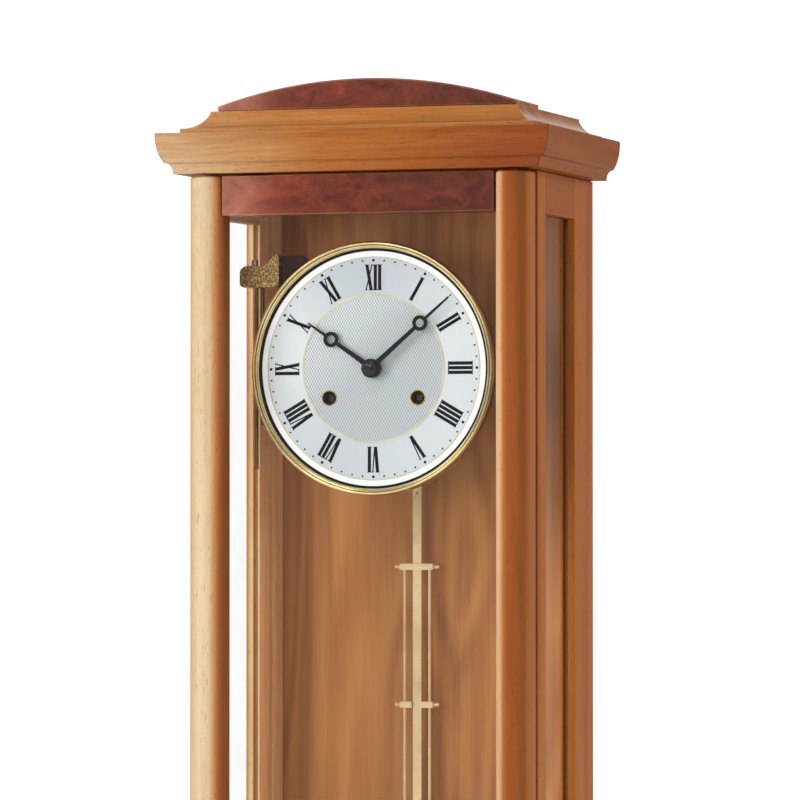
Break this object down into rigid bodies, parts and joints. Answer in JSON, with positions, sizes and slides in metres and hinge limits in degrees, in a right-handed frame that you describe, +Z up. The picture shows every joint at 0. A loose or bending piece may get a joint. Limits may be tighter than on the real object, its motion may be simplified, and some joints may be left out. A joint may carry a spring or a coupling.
{
  "type": "regulator wall clock",
  "caption": "Glazed cherry wall clock with coved crown and arched pediment, half-round door pillars, round dial with gilt bezel, striking movement and grid pendulum.",
  "frame": {"origin": "on the wall face of the back panel, straight behind the centre of the dial", "axes": "+Z up, -Y out of the dial toward the viewer, +Y into the wall, +X to the viewer's right"},
  "size_m": [0.2944, 0.1862, 0.6904],
  "materials": {
    "cherry": "satin lacquered cherry",
    "cherry_pale": "satin lacquered pale cherry",
    "burl": "polished dark burl veneer",
    "back_veneer": "satin veneer",
    "clear_glass": "clear",
    "dial_white": "silvered centre, white chapter ring",
    "gilt": "polished and lacquered",
    "brass": "satin",
    "pendulum_brass": "pale satin",
    "steel": "bright",
    "dark_steel": "blackened",
    "hand_black": "black enamel",
    "bronzed": "rough cast, gold bronze"
  },
  "bodies": {
    "case": {"back_panel": "back_veneer", "left_front_stile": "cherry", "left_rear_stile": "cherry", "left_top_rail": "cherry", "left_bottom_rail": "cherry", "left_side_glass": "clear_glass", "right_front_stile": "cherry", "right_rear_stile": "cherry", "right_top_rail": "cherry", "right_bottom_rail": "cherry", "right_side_glass": "clear_glass", "crown_board": "cherry", "crown_front_moulding": "cherry_pale", "crown_left_moulding": "cherry_pale", "crown_right_moulding": "cherry_pale", "crown_cap": "cherry_pale", "pediment_face": "burl", "pediment_block": "cherry", "base_board": "cherry_pale", "base_plinth": "cherry_pale", "hanger_plate": "steel", "door_top_pivot_pin": "brass", "door_bottom_pivot_pin": "brass", "door_magnet": "dark_steel", "dial_plate": "dial_white", "bezel": "gilt", "dial_pan": "dark_steel", "movement_bracket": "dark_steel", "front_plate": "brass", "back_plate": "brass", "gong_block": "bronzed", "gong_rod_low": "steel", "gong_rod_high": "steel", "suspension_spring": "steel"},
    "door": {"door_left_stile": "cherry", "door_right_stile": "cherry", "door_top_rail": "burl", "door_bottom_rail": "burl", "door_glass": "clear_glass", "door_strike_plate": "steel"},
    "minute_set": {"minute_hand": "hand_black", "hand_nut": "hand_black", "cannon_pinion": "steel"},
    "minute_wheel_body": {"minute_wheel": "brass"},
    "hour_set": {"hour_hand": "hand_black", "hour_wheel": "brass"},
    "centre_wheel_body": {"centre_wheel": "brass"},
    "third_wheel_body": {"third_wheel": "brass"},
    "escape_wheel_body": {"escape_wheel": "brass"},
    "time_barrel_body": {"time_barrel": "brass"},
    "time_arbor_body": {"time_winding_arbor": "steel"},
    "strike_arbor_body": {"strike_winding_arbor": "steel"},
    "strike_barrel_body": {"strike_barrel": "brass"},
    "strike_wheel_body": {"strike_wheel": "brass"},
    "hammer_body": {"hammer": "steel"},
    "anchor_body": {"anchor": "steel"},
    "pendulum_body": {"pendulum_rod": "pendulum_brass", "pendulum_grid": "pendulum_brass"},
    "bob_body": {"pendulum_bob": "gilt"},
    "nut_body": {"rating_nut": "pendulum_brass"}
  },
  "joints": [
    {"name": "door_swing", "type": "hinge", "parent": "case", "child": "door", "pos_m": [0.1213, -0.164, 0], "axis": [0, 0, 1], "range_deg": [0, 105]},
    {"name": "minute_turn", "type": "hinge", "parent": "case", "child": "minute_set", "pos_m": [0, -0.137, 0], "axis": [0, 1, 0], "continuous": true},
    {"name": "minute_wheel_turn", "type": "hinge", "parent": "case", "child": "minute_wheel_body", "pos_m": [0.006, -0.1175, -0.01039], "axis": [0, 1, 0], "continuous": true},
    {"name": "hour_turn", "type": "hinge", "parent": "case", "child": "hour_set", "pos_m": [0, -0.134, 0], "axis": [0, 1, 0], "continuous": true},
    {"name": "centre_turn", "type": "hinge", "parent": "case", "child": "centre_wheel_body", "pos_m": [0, -0.1, 0], "axis": [0, 1, 0], "continuous": true},
    {"name": "third_turn", "type": "hinge", "parent": "case", "child": "third_wheel_body", "pos_m": [-0.01432, -0.1, 0.01722], "axis": [0, 1, 0], "continuous": true},
    {"name": "escape_turn", "type": "hinge", "parent": "case", "child": "escape_wheel_body", "pos_m": [0, -0.1, 0.026], "axis": [0, 1, 0], "continuous": true},
    {"name": "time_barrel_turn", "type": "hinge", "parent": "case", "child": "time_barrel_body", "pos_m": [0.0334, -0.1, -0.0211], "axis": [0, 1, 0], "continuous": true},
    {"name": "time_winding_turn", "type": "hinge", "parent": "case", "child": "time_arbor_body", "pos_m": [0.0334, -0.1, -0.0211], "axis": [0, 1, 0], "continuous": true},
    {"name": "strike_winding_turn", "type": "hinge", "parent": "case", "child": "strike_arbor_body", "pos_m": [-0.0334, -0.1, -0.0211], "axis": [0, 1, 0], "continuous": true},
    {"name": "strike_barrel_turn", "type": "hinge", "parent": "case", "child": "strike_barrel_body", "pos_m": [-0.0334, -0.1, -0.0211], "axis": [0, 1, 0], "continuous": true},
    {"name": "strike_wheel_turn", "type": "hinge", "parent": "case", "child": "strike_wheel_body", "pos_m": [-0.04026, -0.1, 0.01781], "axis": [0, 1, 0], "continuous": true},
    {"name": "hammer_lift", "type": "hinge", "parent": "case", "child": "hammer_body", "pos_m": [-0.06, -0.1, 0.008], "axis": [0, 1, 0], "range_deg": [0, 10]},
    {"name": "pendulum_swing", "type": "hinge", "parent": "case", "child": "pendulum_body", "pos_m": [0, -0.028, 0.043], "axis": [0, 1, 0], "range_deg": [-3, 3]},
    {"name": "anchor_rock", "type": "hinge", "parent": "case", "child": "anchor_body", "pos_m": [0, -0.074, 0.043], "axis": [0, 1, 0], "range_deg": [-3, 3]},
    {"name": "bob_slide", "type": "slide", "parent": "pendulum_body", "child": "bob_body", "axis": [0, 0, 1], "range_m": [-0.0035, 0.0035]},
    {"name": "rating_turn", "type": "hinge", "parent": "bob_body", "child": "nut_body", "pos_m": [0, -0.028, -0.43], "axis": [0, 0, 1], "range_deg": [-1801, 1801]}
  ],
  "couplings": [
    {"joint": "minute_wheel_turn", "follows": "minute_turn", "ratio": -0.33333},
    {"joint": "hour_turn", "follows": "minute_turn", "ratio": 0.083333},
    {"joint": "time_barrel_turn", "follows": "centre_turn", "ratio": -0.2},
    {"joint": "third_turn", "follows": "centre_turn", "ratio": -6},
    {"joint": "escape_turn", "follows": "centre_turn", "ratio": 30},
    {"joint": "strike_wheel_turn", "follows": "strike_barrel_turn", "ratio": -5},
    {"joint": "anchor_rock", "follows": "pendulum_swing", "ratio": 1},
    {"joint": "rating_turn", "follows": "bob_slide", "rad_per_m": 8976}
  ]
}
